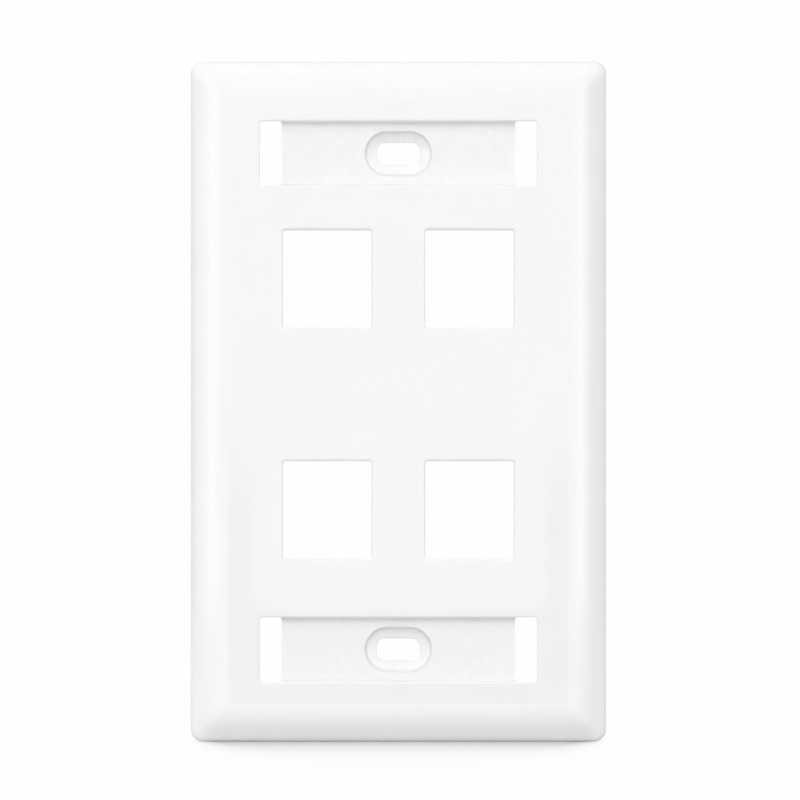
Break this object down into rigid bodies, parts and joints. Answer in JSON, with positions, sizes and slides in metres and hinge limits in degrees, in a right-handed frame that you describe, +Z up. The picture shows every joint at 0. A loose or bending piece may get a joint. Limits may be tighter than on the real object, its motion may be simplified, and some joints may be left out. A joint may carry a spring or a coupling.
{
  "type": "keystone faceplate",
  "caption": "Rectangular wall plate with bevelled edges, keystone jack openings, recessed label windows and slotted, dished screw holes.",
  "frame": {"origin": "centre of the rear rim, in the plane that lies on the wall", "axes": "+X to the right as seen from the front, +Y into the wall, +Z up; the front face looks along -Y"},
  "size_m": [0.0698, 0.01, 0.1142],
  "materials": {
    "white_plastic": "smooth moulded white plastic with a soft sheen; fine matte texture on the label recess floors"
  },
  "bodies": {
    "root": {"faceplate": "white_plastic"}
  },
  "joints": []
}
